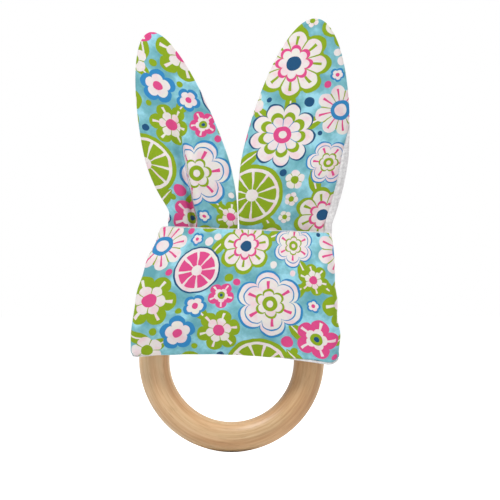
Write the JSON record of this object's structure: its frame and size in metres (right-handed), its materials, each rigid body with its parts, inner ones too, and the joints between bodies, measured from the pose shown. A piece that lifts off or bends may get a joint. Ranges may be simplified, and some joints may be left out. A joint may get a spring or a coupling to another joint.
{
  "type": "teething ring",
  "caption": "Wooden teething ring with a doubled cloth strip hitched on its top bar, a wide printed band in front and leaf-shaped ears that stand up and bend.",
  "frame": {"origin": "centre of the wooden ring", "axes": "+Z from the ring's centre up through the band towards the ears, +Y along the ring's axis from the printed front to the terry back, +X to the right seen from the front"},
  "size_m": [0.0829, 0.0272, 0.1641],
  "materials": {
    "beech": "sanded and oiled",
    "printed_cotton": "plain-woven cotton with a printed pattern",
    "white_terry": "looped pile"
  },
  "bodies": {
    "wrap": {"band_print": "printed_cotton", "band_terry": "white_terry", "left_leg_print": "printed_cotton", "left_leg_terry": "white_terry", "right_leg_print": "printed_cotton", "right_leg_terry": "white_terry"},
    "ring": {"wooden_ring": "beech"},
    "left_ear": {"left_ear_print": "printed_cotton", "left_ear_terry": "white_terry"},
    "right_ear": {"right_ear_print": "printed_cotton", "right_ear_terry": "white_terry"}
  },
  "joints": [
    {"name": "ring_spin", "type": "hinge", "parent": "wrap", "child": "ring", "pos_m": [0, 0, 0], "axis": [0, 1, 0], "continuous": true},
    {"name": "left_ear_bend", "type": "hinge", "parent": "wrap", "child": "left_ear", "pos_m": [-0.01093, -0.00135, 0.05345], "axis": [1, 0, 0], "range_deg": [-80, 80], "stiffness_Nm_per_rad": 0.008},
    {"name": "right_ear_bend", "type": "hinge", "parent": "wrap", "child": "right_ear", "pos_m": [0.02049, -0.00135, 0.05111], "axis": [1, 0, 0], "range_deg": [-80, 80], "stiffness_Nm_per_rad": 0.012}
  ]
}
